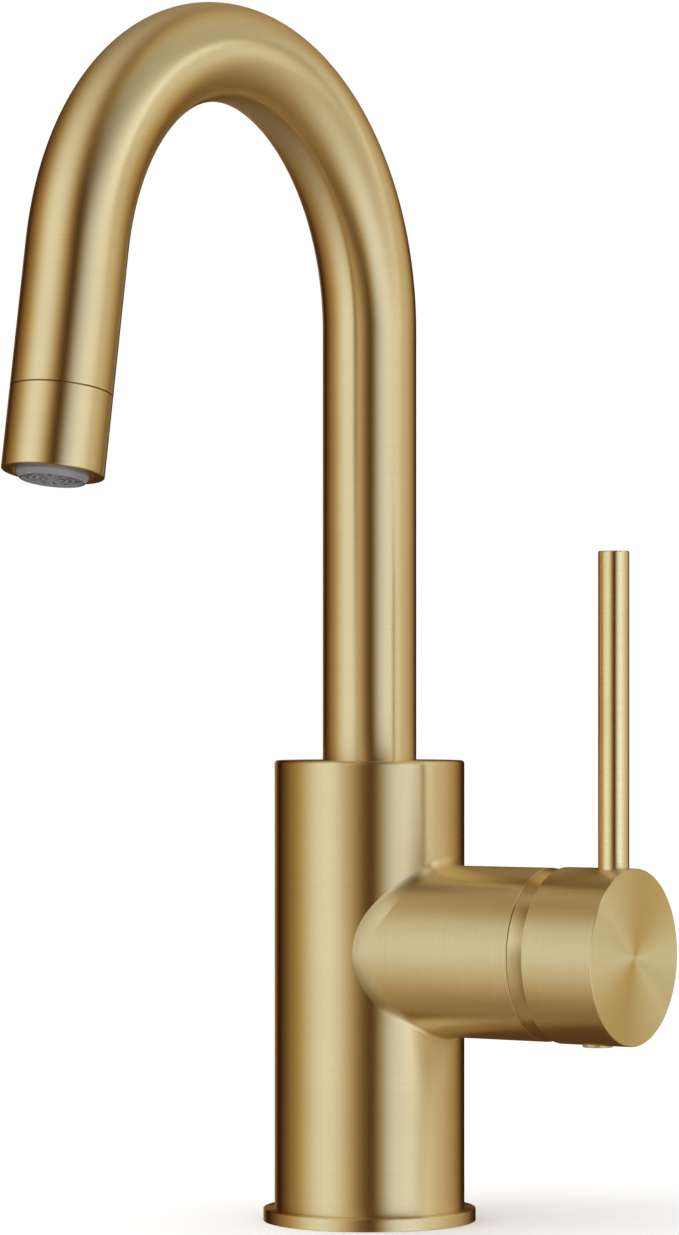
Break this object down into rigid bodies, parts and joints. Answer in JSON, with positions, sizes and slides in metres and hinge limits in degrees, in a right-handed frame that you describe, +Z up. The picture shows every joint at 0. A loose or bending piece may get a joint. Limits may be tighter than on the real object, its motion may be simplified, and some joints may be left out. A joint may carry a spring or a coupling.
{
  "type": "gooseneck faucet",
  "caption": "Deck-mounted single-handle gooseneck faucet: straight round body, side arm with a slim upright lever, swivelling arched spout with a screw-on aerator.",
  "frame": {"origin": "centre of the base on the deck surface, on the body's and the spout's swivel axis", "axes": "+Z up along the body, the spout reaches along -Y at rest, +X along the side arm towards the handle"},
  "size_m": [0.111, 0.1839, 0.3203],
  "materials": {
    "satin_brass": "brushed champagne brass, fine lines round each turned piece",
    "raw_brass": "machined, unplated",
    "steel": "machined stainless",
    "grey_plastic": "moulded acetal, matt",
    "white_plastic": "moulded acetal, matt",
    "rubber": "moulded EPDM",
    "ceramic": "lapped alumina",
    "plug_plastic": "metallised plug"
  },
  "bodies": {
    "root": {"base_gasket": "rubber", "base_flange": "satin_brass", "body_shell": "satin_brass", "waterway_core": "raw_brass", "swivel_bushing": "white_plastic", "core_retaining_ring": "raw_brass", "inlet_bush_hot": "raw_brass", "inlet_bush_cold": "raw_brass", "cartridge_base": "white_plastic", "port_seal_hot": "rubber", "port_seal_cold": "rubber", "port_seal_outlet": "rubber", "fixed_ceramic_disc": "ceramic", "cartridge_housing": "white_plastic", "cartridge_nut": "raw_brass", "dome_ring": "satin_brass"},
    "spout": {"spout_tube": "satin_brass", "spout_spigot": "raw_brass", "spigot_o_ring_lower": "rubber", "spigot_o_ring_upper": "rubber", "spout_snap_ring": "steel", "thrust_washer": "white_plastic", "outlet_adaptor": "raw_brass", "aerator_housing": "satin_brass", "aerator_washer": "rubber", "aerator_insert": "grey_plastic", "aerator_screen": "steel", "flow_regulator": "grey_plastic"},
    "rotor": {"temperature_rotor": "white_plastic", "rotor_pin": "steel"},
    "disc_set": {"moving_ceramic_disc": "ceramic", "disc_holder": "grey_plastic"},
    "handle": {"cartridge_stem": "steel", "handle_cap": "satin_brass", "lever_rod": "satin_brass", "set_screw": "steel", "screw_plug": "plug_plastic"}
  },
  "joints": [
    {"name": "spout_swivel", "type": "hinge", "parent": "root", "child": "spout", "pos_m": [0, 0, 0.118], "axis": [0, 0, 1], "continuous": true},
    {"name": "temperature", "type": "hinge", "parent": "root", "child": "rotor", "pos_m": [0.0506, 0, 0.0736], "axis": [1, 0, 0], "range_deg": [-45, 45]},
    {"name": "handle_tilt", "type": "hinge", "parent": "rotor", "child": "handle", "pos_m": [0.0506, 0, 0.0736], "axis": [0, 1, 0], "range_deg": [0, 22]},
    {"name": "disc_slide", "type": "slide", "parent": "rotor", "child": "disc_set", "axis": [0, 0, 1], "range_m": [0, 0.0043]}
  ],
  "couplings": [
    {"joint": "disc_slide", "follows": "handle_tilt", "m_per_rad": 0.011}
  ]
}
